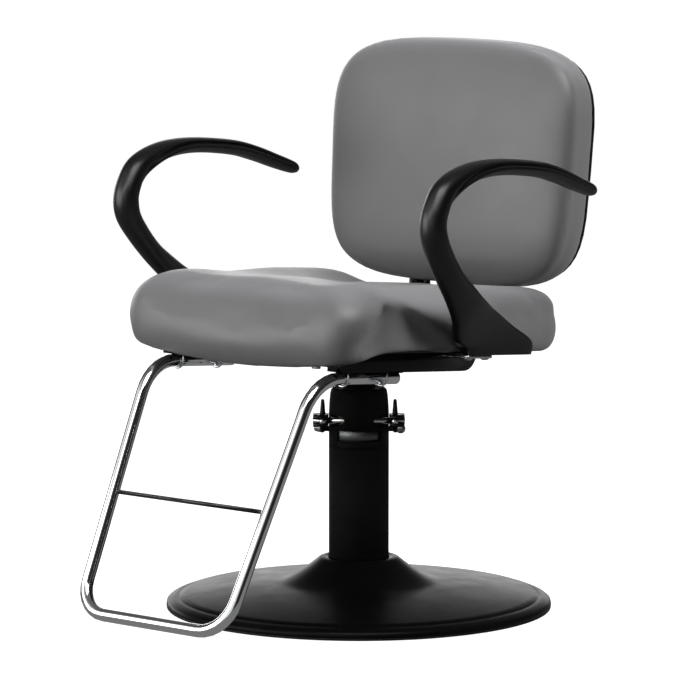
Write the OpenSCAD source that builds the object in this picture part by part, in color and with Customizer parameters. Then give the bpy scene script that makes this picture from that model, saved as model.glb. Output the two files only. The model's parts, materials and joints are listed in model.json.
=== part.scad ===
// Hydraulic salon styling chair with a round base, loop arms and a bent-tube footrest.
// Origin: on the floor under the column's axis. +Z up, the sitter faces -Y, +X is the sitter's left.

/* [Base] */
// Diameter of the round base
base_d = 610; // [540:5:700]
// Thickness of the rubber ring under the rim
gasket_t = 4; // [3:0.5:6]
// Thickness of the dished base plate
plate_t = 5; // [4:0.5:7]
// Height of the rolled rim's top
rim_h = 19; // [16:1:22]
// Height of the dish where the bell flare starts
dish_h = 40; // [40:1:52]
// Height of the collar around the column
collar_h = 80; // [78:1:100]

/* [Column] */
// Outer diameter of the column
column_d = 95; // [95:1:110]
// Wall of the column tube
column_wall = 3.5; // [2.5:0.5:4]
// Height of the top of the pump head
head_top_z = 349; // [340:1:430]
// Height of the pump head casting
head_h = 94; // [90:1:110]
// Width of the window in the front of the pump head
window_w = 68; // [50:1:70]
// Height of that window
window_h = 17; // [10:1:20]

/* [Lift] */
// Diameter of the lifting ram
ram_d = 44; // [40:1:45]
// Travel of the ram
lift_travel = 165; // [100:5:170]
// Diameter of the spindle that the seat turns on
spindle_d = 28; // [22:1:30]

/* [Pedal] */
// Turn of the pump, with its pedal, against the seat, degrees
pump_turn = 41; // [0:1:90]
// Diameter of the cross shaft
shaft_d = 10; // [8:1:11]
// Length of the cross shaft
shaft_l = 145; // [135:1:170]
// Reach of the foot bar behind the column axis
pedal_reach = 225; // [150:5:260]
// Drop of the foot bar below the cross shaft
pedal_drop = 50; // [40:1:80]
// Diameter of the pedal bar
pedal_bar_d = 9; // [7:1:10]
// Length of the rubber sleeve on the foot bar
pedal_pad_l = 92; // [60:1:100]

/* [Seat] */
// Width of the seat cushion
seat_w = 499; // [450:1:560]
// Depth of the seat cushion
seat_depth = 522; // [480:1:560]
// Thickness of the cushion at its sides
seat_t = 105; // [95:1:130]
// Depth of the hollow along the middle of the seat
seat_dish = 28; // [10:1:30]
// Drop of the rolled front edge below the seat board
front_drop = 34; // [10:1:45]
// Height of the seat board's underside over the column
seat_plane_z = 423; // [416:1:520]
// Backward tilt of the whole seat, degrees
seat_tilt = 4.8; // [3:0.1:6]
// Thickness of the seat board
board_t = 15; // [12:1:20]

/* [Back] */
// Width of the back cushion
back_w = 505; // [440:1:540]
// Height of the back cushion
back_h = 383; // [340:1:440]
// Thickness of the back cushion
back_t = 74; // [60:1:90]
// Narrowing of the back towards its bottom, each side
back_taper = 7; // [0:1:15]
// Rise of the back's top edge between its corners
back_arch = 10; // [0:1:25]
// Gap between the seat board's underside and the back's lower edge
back_lift = 93; // [92:1:140]
// Thickness of the back board
back_board_t = 10; // [8:1:14]

/* [Arms] */
// How far the arm loops splay out beyond their feet
arm_splay = 55; // [35:1:70]
// Thickness of the arm's foot
arm_foot_w = 26; // [22:1:32]
// Reach of the arm loop's front ahead of the column axis
arm_reach = 214; // [190:1:240]
// Height of the armrest above the seat board's underside
arm_rise = 291; // [250:1:320]

/* [Footrest] */
// Outer diameter of the footrest tube
rest_tube_d = 20; // [18:1:25]
// Wall of the footrest tube
rest_wall = 1.5; // [1.2:0.1:2.5]
// Spacing of the two tubes under the seat
rest_w = 342; // [300:1:360]
// Spacing of the two legs at the bottom
rest_foot_w = 302; // [260:1:340]
// Distance of the top bends ahead of the column axis
rest_front = 293; // [270:1:310]
// Distance of the foot bar ahead of the column axis, along the seat's tilt
rest_reach = 445; // [420:1:480]
// Drop of the foot bar below the seat board
rest_drop = 423; // [360:1:425]
// Diameter of the thin rod between the legs
rest_rod_d = 7; // [5:1:12]

/* [Hidden] */
$fn = 64;
touch = 0.05;          // running clearance of round fits, on the radius
gap = 0.3;             // gap between soft parts and their neighbours
seat_fit = 0.04;       // gap of parts that are fixed together

// Base
base_r = base_d/2;
column_r = column_d/2;
tube_in_r = column_r - column_wall;
rim_w = 20;            // width of the rolled rim
flare_r = 126;         // radius where the bell flare starts
flare_curve = 1.4;     // 1 is a straight cone, more is hollower
dish_bulge = 2;        // rise of the dish over a straight cone, halfway out
collar_r = column_r + 17;
land_r = 108;          // cast land that the mounting plate is bolted to
land_z = 32;
mount_t = 6;
bolt_pcd = 150;
base_bolt_d = 10;

// Pump
head_z = head_top_z - head_h;
spigot_h = 15;
head_wall = 3;
cavity_r = column_r - head_wall;
crown_h = 27;          // solid top of the head, which holds the guide bush
ram_r = ram_d/2;
cyl_wall = 2.5;
cyl_in_r = ram_r + 1.5;
cyl_r = cyl_in_r + cyl_wall;
floor_z = land_z + 2;  // top of the mounting plate
window_z = head_top_z - 81;
shaft_r = shaft_d/2;
shaft_y = -(cyl_r + 9.5);
shaft_z = head_top_z - 48;
boss_r = 9;
boss_x = 21;
bush_t = 1.5;
rocker_hub_r = shaft_r + 2;
rocker_hub_x = 14;
plunger_x = 33.5;
plunger_y = -10;
plunger_r = 4.5;
nose_r = 5;
plunger_top_z = shaft_z - nose_r - gap;
pump_body_z = head_z - 50;
pump_body_h = 35;
collar_z = plunger_top_z - 12;
spring_wire_r = 0.7;
spring_turns = 6;

// Ram
piston_h = 16;
foot_room = 26;        // height of the ram's foot over the plate, at least
guide_span = 97;       // left between the piston and the guide bush at full lift
ram_foot_z = max(floor_z + foot_room, head_top_z - crown_h - guide_span - lift_travel);
shoulder_z = head_top_z + 13;
spindle_r = spindle_d/2;
bearing_t = 4;
hub_r = 26;
hub_top_z = shoulder_z + 43;
hub_skirt_z = head_top_z + 2;

// Seat
rail_x = rest_w/2;
rail_w = rest_tube_d + 18;
rail_h = 32;
rail_front = -246;
rail_rear = 62;
steel_t = 3;
tray_x = rail_x - rail_w/2;
tray_y = 75;
tray_h = 36;
plate_half = 60;
plate_bolt = 46;
board_x = seat_w/2 - 30;
board_rear = 190;
seat_rear = 213;
seat_front = seat_rear - seat_depth;
board_front = seat_front + 50;
board_corner = 45;
seat_mid = (seat_rear + seat_front)/2;
frame_bolt_y = [-190, -60, 18];
m8 = 4;

// Back
back_front_y = 171;
back_y = back_front_y + back_t;      // rear face of the cushion
board_edge = 22;                     // inset of the back board, let into the cushion
back_mid_z = back_lift + back_h/2;
bar_y = back_y;
bar_t = 6;
bar_w = 40;
bar_x = 90;
bar_start = 95;
bar_top = 300;
bar_bend = 14;
shell_t = 3;
shell_y = bar_y + bar_t + 7;

// Arms
arm_in_x = seat_w/2 + 0.5;
arm_foot_x = arm_in_x + arm_foot_w/2;
bracket_t = 5;
bracket_y = -28;

// Footrest
rest_r = rest_tube_d/2;
rest_z = -rail_h - rest_r;
rest_back = -108;
top_bend = 78;
foot_bend = 55;
ubolt_r = 1.8;
ubolt_y = [-232, -142];
rod_share = 0.525;     // how far down the legs the thin rod sits

black = "#1c1c1e";
steel = "#b8bcc0";
grey_vinyl = "#75757a";

// ---------- shared shapes ----------

// Smooth curve through the rows of a list; t runs from 0 to the last row's number
function spline(p, t) =
    let (n = len(p) - 1, i = min(floor(t), n - 1), f = t - i,
         a = p[max(i - 1, 0)], b = p[i], c = p[i + 1], d = p[min(i + 2, n)])
    0.5*(2*b + (c - a)*f + (2*a - 5*b + 4*c - d)*f*f + (3*b - a - 3*c + d)*f*f*f);

function smooth(t) = let (s = min(max(t, 0), 1)) s*s*(3 - 2*s);
function power(v, e) = sign(v)*pow(abs(v), e);
function unit(v) = v/norm(v);
function mean(ring) = [for (i = [0:2]) [for (p = ring) p[i]]*[for (p = ring) 1]/len(ring)];

// Closed skin over a stack of rings that have equal numbers of points
module skin(rings) {
    n = len(rings[0]);
    m = len(rings);
    points = concat([for (r = rings) each r], [mean(rings[0]), mean(rings[m - 1])]);
    first = [for (i = [0:n - 1]) [m*n, i, (i + 1) % n]];
    last = [for (i = [0:n - 1]) [m*n + 1, (m - 1)*n + (i + 1) % n, (m - 1)*n + i]];
    polyhedron(points, concat(skin_sides(n, m - 1, m), first, last));
}

// The same for rings that close on themselves, as the outside and inside of a tube do
module hollow_skin(rings) {
    n = len(rings[0]);
    m = len(rings);
    polyhedron([for (r = rings) each r], skin_sides(n, m, m));
}

function skin_sides(n, bands, m) = [for (k = [0:bands - 1]) for (i = [0:n - 1])
    let (j = (i + 1) % n, a = k*n, b = ((k + 1) % m)*n) each [[a + i, b + i, b + j], [a + i, b + j, a + j]]];

// Cylinder from p to q
module run(p, q, r_out, r_in = 0) {
    d = q - p;
    translate(p) rotate([0, acos(d[2]/norm(d)), atan2(d[1], d[0])])
        linear_extrude(norm(d)) section(r_out, r_in);
}

module section(r_out, r_in) {
    difference() {
        circle(r_out);
        if (r_in > 0) circle(r_in);
    }
}

// Where a bend of radius r at v starts on the side of a, and by how much it turns
function turn(v, a, b) = 180 - acos(unit(a - v)*unit(b - v));
function tangent(v, a, b, r) = v + unit(a - v)*r*tan(turn(v, a, b)/2);

// Points and directions along a bend of radius r at v, coming from a and going to b
function bend(v, a, b, r, steps) =
    let (s = turn(v, a, b), c = v + unit(unit(a - v) + unit(b - v))*r/cos(s/2),
         x = unit(tangent(v, a, b, r) - c), y = unit(v - a))
    [for (i = [0:steps]) let (t = i*s/steps) [c + r*(x*cos(t) + y*sin(t)), y*cos(t) - x*sin(t)]];

// Points and directions along a bent tube, with one bend radius for each inner point
function tube_line(p, bends, steps) = let (n = len(p) - 1)
    concat([[p[0], unit(p[1] - p[0])]],
        [for (i = [1:n - 1]) each bend(p[i], p[i - 1], p[i + 1], bends[i - 1], steps)],
        [[p[n], unit(p[n] - p[n - 1])]]);

// A sideways direction for each point of a line, carried along it without twist
function square_to(u, d) = unit(u - d*(u*d));
function sideways(line, start) = [for (i = 0, u = square_to(start, line[0][1]); i < len(line);
    i = i + 1, u = i < len(line) ? square_to(u, line[i][1]) : u) u];

// Rings of n points round a line, with a radius for each ring
function tube_rings(line, radii, start, n) = let (side = sideways(line, start))
    [for (i = [0:len(line) - 1]) let (u = side[i], w = cross(line[i][1], u))
        [for (k = [0:n - 1]) line[i][0] + radii[i]*(u*cos(k*360/n) + w*sin(k*360/n))]];

module ring(r_out, r_in, h) {
    linear_extrude(h) section(r_out, r_in);
}

module hex_bolt(d, l, head_af, head_h) {
    translate([0, 0, -head_h]) cylinder(d = head_af/cos(30), h = head_h, $fn = 6);
    cylinder(d = d, h = l);
}

module dome_bolt(d, l, head_d, head_h) {
    rotate_extrude() polygon([[0, l], [d/2, l], [d/2, 0], [head_d/2, 0], [head_d/2, -0.3*head_h],
        [0.38*head_d, -0.75*head_h], [0.2*head_d, -0.95*head_h], [0, -head_h]]);
}

module rounded_block(x, y, h, r) {
    linear_extrude(h) rounded_rect(x, y, r);
}

module rounded_rect(x, y, r) {
    square([x - 2*r, y], center = true);
    square([x, y - 2*r], center = true);
    for (i = [-1, 1]) for (j = [-1, 1]) translate([i*(x/2 - r), j*(y/2 - r)]) circle(r);
}

// Frame of the pump and its pedal: window towards -Y, foot bar towards +Y
module pump_side() {
    rotate([0, 0, pump_turn]) children();
}

// Frame of the tilted seat: z = 0 is the underside of the seat board
module seat_side() {
    translate([0, 0, seat_plane_z]) rotate([-seat_tilt, 0, 0]) children();
}

module mirrored() {
    children();
    mirror([1, 0, 0]) children();
}

// ---------- base ----------

function flare_z(r) = dish_h + (collar_h - 3 - dish_h)*pow((flare_r - r)/(flare_r - collar_r), flare_curve);
function dish_z(r) = let (t = (r - flare_r)/(base_r - rim_w - flare_r))
    dish_h + (rim_h - dish_h)*t + 4*dish_bulge*t*(1 - t);

module base_plate() {
    bore_r = column_r + touch;
    low = gasket_t;
    profile = concat(
        [[bore_r, collar_h], [collar_r - 8, collar_h], [collar_r - 4, collar_h - 0.8],
         [collar_r - 1.5, collar_h - 1.8]],
        [for (i = [0:9]) let (r = collar_r + i*(flare_r - collar_r)/10) [r, flare_z(r)]],
        [for (i = [0:7]) let (r = flare_r + i*(base_r - rim_w - 1.5 - flare_r)/7) [r, dish_z(r)]],
        [[base_r - rim_w, rim_h - 2], [base_r - rim_w + 2, rim_h - 1.2], [base_r - 11, rim_h - 3.2],
         [base_r - 4, rim_h - 6], [base_r - 1, rim_h - 8.5], [base_r, low + 2], [base_r, low],
         [base_r - plate_t, low], [base_r - rim_w, rim_h - plate_t - 3],
         [flare_r, dish_h - plate_t], [land_r, dish_h - plate_t + 1],
         [land_r, land_z], [bore_r, land_z]]);
    color(black) difference() {
        rotate_extrude($fn = 128) polygon(profile);
        at_base_bolts() translate([0, 0, land_z - 1]) cylinder(r = base_bolt_d/2 + touch, h = 17);
    }
}

module at_base_bolts() {
    for (a = [45:90:315]) rotate(a) translate([bolt_pcd/2, 0, 0]) children();
}

module base_gasket() {
    color("#141414") rotate_extrude($fn = 128)
        polygon([[base_r - 14, 0], [base_r - 1, 0], [base_r - 0.3, 1], [base_r - 0.3, gasket_t],
            [base_r - 14, gasket_t]]);
}

module mount_plate() {
    color(steel) difference() {
        union() {
            translate([0, 0, land_z - mount_t]) cylinder(r = land_r - 3, h = mount_t, $fn = 96);
            translate([0, 0, land_z]) cylinder(r = column_r - column_wall - 1, h = floor_z - land_z);
        }
        at_base_bolts() translate([0, 0, land_z - mount_t - 1])
            cylinder(r = base_bolt_d/2 + touch, h = mount_t + 2);
    }
}

module base_bolts() {
    color(steel) at_base_bolts() translate([0, 0, land_z - mount_t]) hex_bolt(base_bolt_d, 20, 16, 6);
}

module column_tube() {
    color(black) translate([0, 0, land_z]) ring(column_r, tube_in_r, head_z - land_z);
}

// ---------- pump, fixed parts ----------

module across_shaft(r, from_x, to_x) {
    translate([from_x, shaft_y, shaft_z]) rotate([0, 90, 0]) cylinder(r = r, h = to_x - from_x);
}

module pump_head() {
    top = head_top_z;
    crown_z = top - crown_h;
    color(black) pump_side() difference() {
        union() {
            rotate_extrude() polygon([[cavity_r, head_z], [column_r, head_z], [column_r, top - 40],
                [column_r - 0.8, top - 24], [column_r - 2.2, top - 9], [column_r - 3.4, top - 3.5],
                [column_r - 5.4, top - 1], [column_r - 8, top], [cyl_r + touch, top],
                [cyl_r + touch, crown_z], [cavity_r, crown_z]]);
            translate([0, 0, head_z - spigot_h])
                ring(tube_in_r - touch, tube_in_r - 2.4, spigot_h + 2);
            translate([0, 0, head_z]) ring(cavity_r, tube_in_r - 2.4, 2);
            intersection() {
                translate([0, 0, head_z]) ring(column_r - 1, cyl_r + 1, head_h - crown_h);
                mirrored() across_shaft(boss_r, boss_x, column_r);
            }
        }
        mirrored() across_shaft(shaft_r + bush_t, rocker_hub_x, column_r);
        across_shaft(rocker_hub_r + 0.6, -rocker_hub_x - 0.6, rocker_hub_x + 0.6);
        translate([0, -column_r, window_z + window_h/2])
            cube([window_w, column_r, window_h], center = true);
        translate([0, column_r - 12, shaft_z]) rotate([-90, 0, 0]) cylinder(r = 5 + touch, h = 20);
    }
}

// Curved steel sleeve seen through the window
module window_sleeve() {
    h = shaft_z - boss_r - window_z + 5.5;
    color("#6b6e70") translate([0, 0, window_z - 6]) ring(cavity_r - 0.2, cavity_r - 3, h);
}

module inner_cylinder() {
    color(steel) translate([0, 0, floor_z]) ring(cyl_r, cyl_in_r, head_top_z - crown_h + 8 - floor_z);
}

module cylinder_plug() {
    color(steel) translate([0, 0, floor_z]) cylinder(r = cyl_in_r - touch, h = 8);
}

// Ring that holds both pump barrels, clamped between the cylinder and the tube
module pump_body() {
    color("#8a8d8f") pump_side() difference() {
        translate([0, 0, pump_body_z]) ring(tube_in_r - touch, cyl_r + touch, pump_body_h);
        mirrored() at_plunger(pump_body_z - 1) cylinder(r = plunger_r + touch, h = pump_body_h + 2);
    }
}

module at_plunger(z) {
    translate([plunger_x, plunger_y, z]) children();
}

module ram_bush() {
    color("#c8a552") translate([0, 0, head_top_z - crown_h + 8]) ring(cyl_r, ram_r + touch, crown_h - 13);
}

module ram_wiper() {
    color("#141414") translate([0, 0, head_top_z - 5]) rotate_extrude()
        polygon([[ram_r + touch, 0], [cyl_r, 0], [cyl_r, 5], [cyl_r - 1.5, 6], [ram_r + touch, 6.5]]);
}

module shaft_bushes() {
    color("#c8a552") pump_side() mirrored() intersection() {
        difference() {
            across_shaft(shaft_r + bush_t - seat_fit, boss_x, column_r);
            across_shaft(shaft_r + touch, boss_x - 1, column_r + 1);
        }
        translate([0, 0, head_z]) cylinder(r = column_r - 0.5, h = head_h);
    }
}

module oil_plug() {
    color(steel) pump_side() translate([0, column_r - 6, shaft_z]) rotate([90, 0, 0]) {
        translate([0, 0, -1]) cylinder(r = 5, h = 6);
        translate([0, 0, -9]) cylinder(r = 7.5, h = 2.6);
        translate([0, 0, -6.4]) cylinder(r = 5, h = 6);
        translate([0, 0, -13]) cylinder(r = 5.5, h = 4, $fn = 6);
    }
}

// ---------- pedal ----------

clamp_in_x = column_r + 0.3;
clamp_out_x = shaft_l/2 - 0.5;
clamp_mid_x = column_r + 9.5;
bar_pin_y = shaft_y + shaft_r + 10;
clamp_low_z = shaft_z - 9;
clamp_high_z = shaft_z + 9;
clamp_front_y = shaft_y - 9;
clamp_back_y = bar_pin_y + 8;
foot_bar_z = shaft_z - pedal_drop;
foot_bar_x = 70;
pedal_r = pedal_bar_d/2;

module rocker_shaft() {
    color("silver") pump_side() across_shaft(shaft_r, -shaft_l/2, shaft_l/2);
}

// Forked arm on the cross shaft; its two noses press the pump plungers
module rocker_arm() {
    color("#8a8d8f") pump_side() difference() {
        union() {
            across_shaft(rocker_hub_r, -rocker_hub_x, rocker_hub_x);
            mirrored() {
                translate([0, 0, shaft_z - nose_r]) linear_extrude(2*nose_r) polygon([[6, shaft_y],
                    [rocker_hub_x, shaft_y], [rocker_hub_x, shaft_y + 7.5], [20, -25], [37, -13],
                    [37, plunger_y], [30, plunger_y], [29, -12], [17, -22.5], [6, -29.5]]);
                translate([30, plunger_y, shaft_z]) rotate([0, 90, 0]) cylinder(r = nose_r, h = 7);
            }
        }
        across_shaft(shaft_r + seat_fit, -rocker_hub_x - 1, rocker_hub_x + 1);
    }
}

// Split blocks that carry the pedal bar on the ends of the cross shaft
module shaft_clamps() {
    color(black) pump_side() mirrored() difference() {
        translate([clamp_in_x, clamp_front_y, clamp_low_z])
            cube([clamp_out_x - clamp_in_x, clamp_back_y - clamp_front_y, clamp_high_z - clamp_low_z]);
        across_shaft(shaft_r + seat_fit, clamp_in_x - 1, clamp_out_x + 1);
        translate([clamp_in_x - 1, clamp_front_y - 1, shaft_z - 2.5]) cube([clamp_out_x, 9 + 1, 5]);
        translate([clamp_mid_x, bar_pin_y, clamp_low_z - 1]) cylinder(r = pedal_r + seat_fit, h = 30);
        translate([clamp_mid_x, clamp_front_y - 1, shaft_z]) rotate([-90, 0, 0])
            cylinder(r = 3 + touch, h = 6);
    }
}

module clamp_bolts() {
    color("silver") pump_side() mirrored()
        translate([clamp_mid_x, clamp_front_y, shaft_z]) rotate([-90, 0, 0]) dome_bolt(6, 3.8, 11, 5);
}

// One round bar: tapered pin ends stand up through the clamp blocks, the foot bar is behind
module pedal_bar() {
    top = shaft_z + 32;
    low = clamp_low_z - 8;
    side = [[clamp_mid_x, bar_pin_y, top], [clamp_mid_x, bar_pin_y, low],
        [foot_bar_x, pedal_reach, foot_bar_z]];
    path = concat([for (q = side) left_of(q)], [side[2], side[1], side[0]]);
    line = tube_line(path, [10, 20, 20, 10], 5);
    n = len(line);
    down = [0, 0, -1];
    pin = [[side[0], 0.3], [side[0] + down*0.4, 0.45], [side[0] + down*2, 0.62],
        [side[0] + down*(top - clamp_high_z), 1]];
    whole = concat([for (q = pin) [left_of(q[0]), down]], [for (i = [1:n - 2]) line[i]],
        [for (i = [3:-1:0]) [pin[i][0], -down]]);
    radii = concat([for (q = pin) q[1]*pedal_r], [for (i = [1:n - 2]) pedal_r],
        [for (i = [3:-1:0]) pin[i][1]*pedal_r]);
    color(black) pump_side() skin(tube_rings(whole, radii, [1, 0, 0], 14));
}

module pedal_pad() {
    color("#141414") pump_side() translate([-pedal_pad_l/2, pedal_reach, foot_bar_z]) rotate([0, 90, 0])
        difference() {
            union() {
                cylinder(r = pedal_r + 3, h = pedal_pad_l);
                for (i = [1:10]) translate([0, 0, i*pedal_pad_l/11 - 1.5])
                    cylinder(r = pedal_r + 3.8, h = 3);
            }
            translate([0, 0, -1]) cylinder(r = pedal_r + seat_fit, h = pedal_pad_l + 2);
        }
}

// Satin collar on the right arm of the pedal bar
module pedal_knuckle() {
    a = [clamp_mid_x, bar_pin_y, clamp_low_z - 8];
    b = [foot_bar_x, pedal_reach, foot_bar_z];
    p = a + (b - a)*0.86;
    q = a + (b - a)*0.80;
    color("silver") pump_side() {
        difference() {
            union() {
                run(q, p, 7.5);
                run(q + (q - p)*0.15, q + (p - q)*0.1, 6);
                run(p + (q - p)*0.1, p + (p - q)*0.15, 6);
            }
            run(q + (q - p), p + (p - q), pedal_r + seat_fit);
        }
    }
}

module pump_plungers() {
    color("silver") pump_side() mirrored() {
        at_plunger(pump_body_z + 20) cylinder(r = plunger_r, h = plunger_top_z - pump_body_z - 20);
        at_plunger(collar_z) cylinder(r = 6, h = 3);
    }
}

spring_z = pump_body_z + pump_body_h + touch;
spring_h = collar_z - touch - spring_z;
spring_r = plunger_r + 0.4 + spring_wire_r;

function coil_ring(i, n) =
    let (a = i*360*spring_turns/n, z = spring_wire_r + i*(spring_h - 2*spring_wire_r)/n)
    [for (k = [0:5]) let (b = k*60, r = spring_r + spring_wire_r*cos(b))
        [r*cos(a), r*sin(a), z + spring_wire_r*sin(b)]];

module plunger_springs() {
    n = 9*spring_turns;
    color(steel) pump_side() mirrored()
        at_plunger(spring_z) skin([for (i = [n:-1:0]) coil_ring(i, n)]);
}

// ---------- ram ----------

module ram() {
    color("silver") rotate_extrude() polygon([[0, ram_foot_z], [ram_r - 1, ram_foot_z],
        [ram_r, ram_foot_z + 1], [ram_r, shoulder_z], [spindle_r, shoulder_z],
        [spindle_r, hub_top_z + 5], [spindle_r - 1, hub_top_z + 6], [0, hub_top_z + 6]]);
}

module piston() {
    color(steel) translate([0, 0, ram_foot_z - piston_h]) difference() {
        cylinder(r = cyl_in_r - touch, h = piston_h);
        translate([0, 0, 5]) ring(cyl_in_r + 1, cyl_in_r - 2.5, 5);
    }
}

module piston_ring() {
    color("#141414") translate([0, 0, ram_foot_z - piston_h + 5 + touch])
        ring(cyl_in_r - seat_fit, cyl_in_r - 2.45, 5 - 2*touch);
}

module thrust_bearing() {
    color(steel) translate([0, 0, shoulder_z]) ring(ram_r - 0.6, spindle_r + 0.4, bearing_t - touch);
}

module spindle_clip() {
    color(steel) translate([0, 0, hub_top_z + gap]) ring(spindle_r + 4, spindle_r + seat_fit, 2);
}

// ---------- seat carrier ----------

module at_plate_bolts() {
    for (i = [-1, 1]) for (j = [-1, 1]) translate([i*plate_bolt, j*plate_bolt, 0]) children();
}

module swivel_hub() {
    bore_z = shoulder_z + bearing_t;
    color(black) difference() {
        union() {
            translate([0, 0, hub_skirt_z]) cylinder(r = hub_r, h = bore_z + 20 - hub_skirt_z);
            translate([0, 0, bore_z]) cylinder(r = hub_r - 4, h = hub_top_z - bore_z);
            seat_side() translate([0, 0, -tray_h - 6])
                rounded_block(2*plate_half, 2*plate_half, 6 - touch, 12);
        }
        translate([0, 0, hub_skirt_z - 1]) cylinder(r = ram_r + 0.1, h = bore_z - hub_skirt_z + 1);
        translate([0, 0, bore_z - 1]) cylinder(r = spindle_r + 2, h = 60);
        seat_side() at_plate_bolts() translate([0, 0, -tray_h - 7]) cylinder(r = m8 + touch, h = 8);
    }
}

module swivel_bush() {
    color("#c8a552") translate([0, 0, shoulder_z + bearing_t])
        ring(spindle_r + 2 - seat_fit, spindle_r + touch, hub_top_z - shoulder_z - bearing_t);
}

module hub_bolts() {
    color(steel) seat_side() at_plate_bolts() translate([0, 0, -tray_h - 6]) {
        hex_bolt(2*m8, 18, 13, 5.5);
        translate([0, 0, 6 + 4 + touch]) difference() {
            cylinder(d = 15, h = 6, $fn = 6);
            translate([0, 0, -1]) cylinder(r = m8 - 0.5, h = 8);
        }
    }
}

module rail_outline() {
    r = 29;
    difference() {
        translate([rail_front, -rail_h]) square([rail_rear - rail_front, rail_h]);
        translate([rail_rear - r, -rail_h - 1]) square([r + 1, r + 1]);
    }
    intersection() {
        translate([rail_rear - r, -rail_h + r]) circle(r);
        translate([rail_rear - r, -rail_h]) square([r, rail_h]);
    }
}

module at_ubolts() {
    for (y = ubolt_y) translate([rail_x, y, rest_z]) children();
}

// Welded pressed-steel frame: two side rails, a middle tray and a front cross member
module seat_frame() {
    color(black) seat_side() difference() {
        union() {
            mirrored() translate([rail_x - rail_w/2, 0, 0]) rotate([90, 0, 90])
                linear_extrude(rail_w) rail_outline();
            translate([-tray_x - 1, -tray_y, -tray_h]) cube([2*tray_x + 2, 2*tray_y, tray_h]);
            translate([-tray_x - 1, -225, -22]) cube([2*tray_x + 2, 40, 22]);
        }
        mirrored() for (y = [[rail_front + steel_t, -20], [-14, rail_rear - 30]])
            translate([rail_x - rail_w/2 + steel_t, y[0], -rail_h + steel_t])
                cube([rail_w - 2*steel_t, y[1] - y[0], rail_h - steel_t - 3]);
        mirrored() for (y = [[rail_front + steel_t, -20], [-14, rail_rear - 30]])
            translate([rail_x - rail_w/2 + 15, y[0] + 8, -4]) cube([rail_w - 30, y[1] - y[0] - 16, 5]);
        translate([-tray_x + 8, -tray_y + steel_t, -tray_h + 4])
            cube([2*tray_x - 16, 2*tray_y - 2*steel_t, tray_h]);
        translate([-tray_x + 8, -225 + steel_t, -22 + steel_t]) cube([2*tray_x - 16, 40 - 2*steel_t, 22]);
        translate([0, 0, -tray_h - 1]) cylinder(r = hub_r + 4, h = 6);
        at_plate_bolts() translate([0, 0, -tray_h - 1]) cylinder(r = m8 + touch, h = 6);
        mirrored() at_ubolts() for (s = [-1, 1])
            translate([s*(rest_r + ubolt_r + touch), 0, rest_r - 1]) cylinder(r = ubolt_r + touch, h = 6);
        mirrored() at_frame_bolts() translate([0, 0, -4]) cylinder(r = 3 + touch, h = 5);
    }
}

module at_frame_bolts() {
    for (y = frame_bolt_y) translate([rail_x - rail_w/2 + 9.5, y, 0]) children();
}

// Screws up through the rails into the seat board
module frame_bolts() {
    color(steel) seat_side() mirrored() at_frame_bolts()
        translate([0, 0, -3 - touch]) hex_bolt(6, board_t - 1, 10, 4);
}

module seat_board() {
    color("#232323") seat_side() difference() {
        translate([0, (board_front + board_rear)/2, seat_fit])
            rounded_block(2*board_x, board_rear - board_front, board_t - seat_fit, board_corner);
        mirrored() {
            at_frame_bolts() translate([0, 0, -1]) cylinder(r = 3 + touch, h = board_t);
            at_bracket_bolts() translate([0, 0, -1]) cylinder(r = 3 + touch, h = board_t);
            at_bar_bolts() translate([0, 0, -1]) cylinder(r = m8 + touch, h = board_t);
        }
    }
}

// ---------- footrest ----------

rest_top = [rail_x, rest_back, rest_z];
rest_knee = [rail_x, -rest_front, rest_z];
rest_corner = [rest_foot_w/2, -rest_reach, -rest_drop];
function left_of(p) = [-p[0], p[1], p[2]];

module footrest_tube() {
    path = [left_of(rest_top), left_of(rest_knee), left_of(rest_corner), rest_corner, rest_knee, rest_top];
    line = tube_line(path, [top_bend, foot_bend, foot_bend, top_bend], 7);
    outer = tube_rings(line, [for (p = line) rest_r], [1, 0, 0], 20);
    inner = tube_rings(line, [for (p = line) rest_r - rest_wall], [1, 0, 0], 20);
    color("silver") seat_side()
        hollow_skin(concat(outer, [for (i = [len(inner) - 1:-1:0]) inner[i]]));
}

module footrest_rod() {
    p = rest_knee + (rest_corner - rest_knee)*rod_share;
    color("silver") seat_side() difference() {
        run(left_of(p), p, rest_rod_d/2);
        mirrored() run(rest_knee, rest_corner, rest_r + seat_fit);
    }
}

module footrest_ubolts() {
    leg_x = rest_r + ubolt_r + touch;
    color("#3a3a3c") seat_side() mirrored() at_ubolts() {
        rotate([90, 180, 0]) rotate_extrude(angle = 180) translate([leg_x, 0]) circle(ubolt_r);
        for (s = [-1, 1]) translate([s*leg_x, 0, 0]) cylinder(r = ubolt_r, h = rest_r + steel_t + 8);
    }
}

module footrest_nuts() {
    leg_x = rest_r + ubolt_r + touch;
    color(steel) seat_side() mirrored() at_ubolts() for (s = [-1, 1])
        translate([s*leg_x, 0, rest_r + steel_t + touch]) difference() {
            cylinder(d = 7, h = 3.5, $fn = 6);
            translate([0, 0, -1]) cylinder(r = ubolt_r + seat_fit, h = 6);
        }
}

// ---------- cushions ----------

function squircle(a, b, n, e) =
    [for (i = [0:n - 1]) let (t = i*360/n) [a*power(cos(t), e), b*power(sin(t), e)]];

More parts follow.
